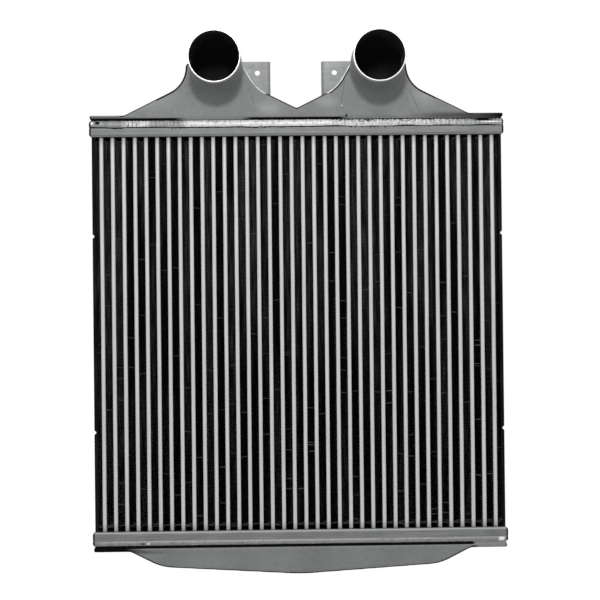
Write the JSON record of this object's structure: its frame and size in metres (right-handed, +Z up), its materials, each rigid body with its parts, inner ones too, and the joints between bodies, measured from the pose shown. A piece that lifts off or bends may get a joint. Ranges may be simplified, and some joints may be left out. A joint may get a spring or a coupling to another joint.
{
  "type": "intercooler",
  "caption": "Charge air cooler with a core of upright flat tubes and fins, a cast twin-neck top tank and a shallow return tank.",
  "frame": {"origin": "midway between the holes of the two mounting brackets, on the brackets' back faces", "axes": "+X across the core towards the viewer's right, +Y towards the back, away from the hose spigots, +Z up"},
  "size_m": [0.773, 0.1941, 0.9948],
  "materials": {
    "casting": "matt cast",
    "header_sheet": "satin sheet",
    "tube": "satin",
    "fin": "dark",
    "side_sheet": "dark painted",
    "weld": "bright",
    "bracket_sheet": "satin sheet"
  },
  "bodies": {
    "root": {"bottom_header_plate": "header_sheet", "bottom_weld_bead": "weld", "fin_bank_1": "fin", "fin_bank_2": "fin", "fin_bank_3": "fin", "fin_bank_4": "fin", "fin_bank_5": "fin", "fin_bank_6": "fin", "fin_bank_7": "fin", "left_bracket": "bracket_sheet", "left_end_fin": "fin", "left_side_plate": "side_sheet", "return_tank": "casting", "right_bracket": "bracket_sheet", "right_end_fin": "fin", "right_side_plate": "side_sheet", "top_header_plate": "header_sheet", "top_tank": "casting", "top_weld_bead": "weld", "tube_01": "tube", "tube_02": "tube", "tube_03": "tube", "tube_04": "tube", "tube_05": "tube", "tube_06": "tube", "tube_07": "tube", "tube_08": "tube", "tube_09": "tube", "tube_10": "tube", "tube_11": "tube", "tube_12": "tube", "tube_13": "tube", "tube_14": "tube", "tube_15": "tube", "tube_16": "tube", "tube_17": "tube", "tube_18": "tube", "tube_19": "tube", "tube_20": "tube", "tube_21": "tube", "tube_22": "tube", "tube_23": "tube", "tube_24": "tube", "tube_25": "tube", "tube_26": "tube", "tube_27": "tube", "tube_28": "tube", "tube_29": "tube", "tube_30": "tube", "tube_31": "tube", "tube_32": "tube", "tube_33": "tube", "tube_34": "tube", "tube_35": "tube", "tube_36": "tube"}
  },
  "joints": []
}
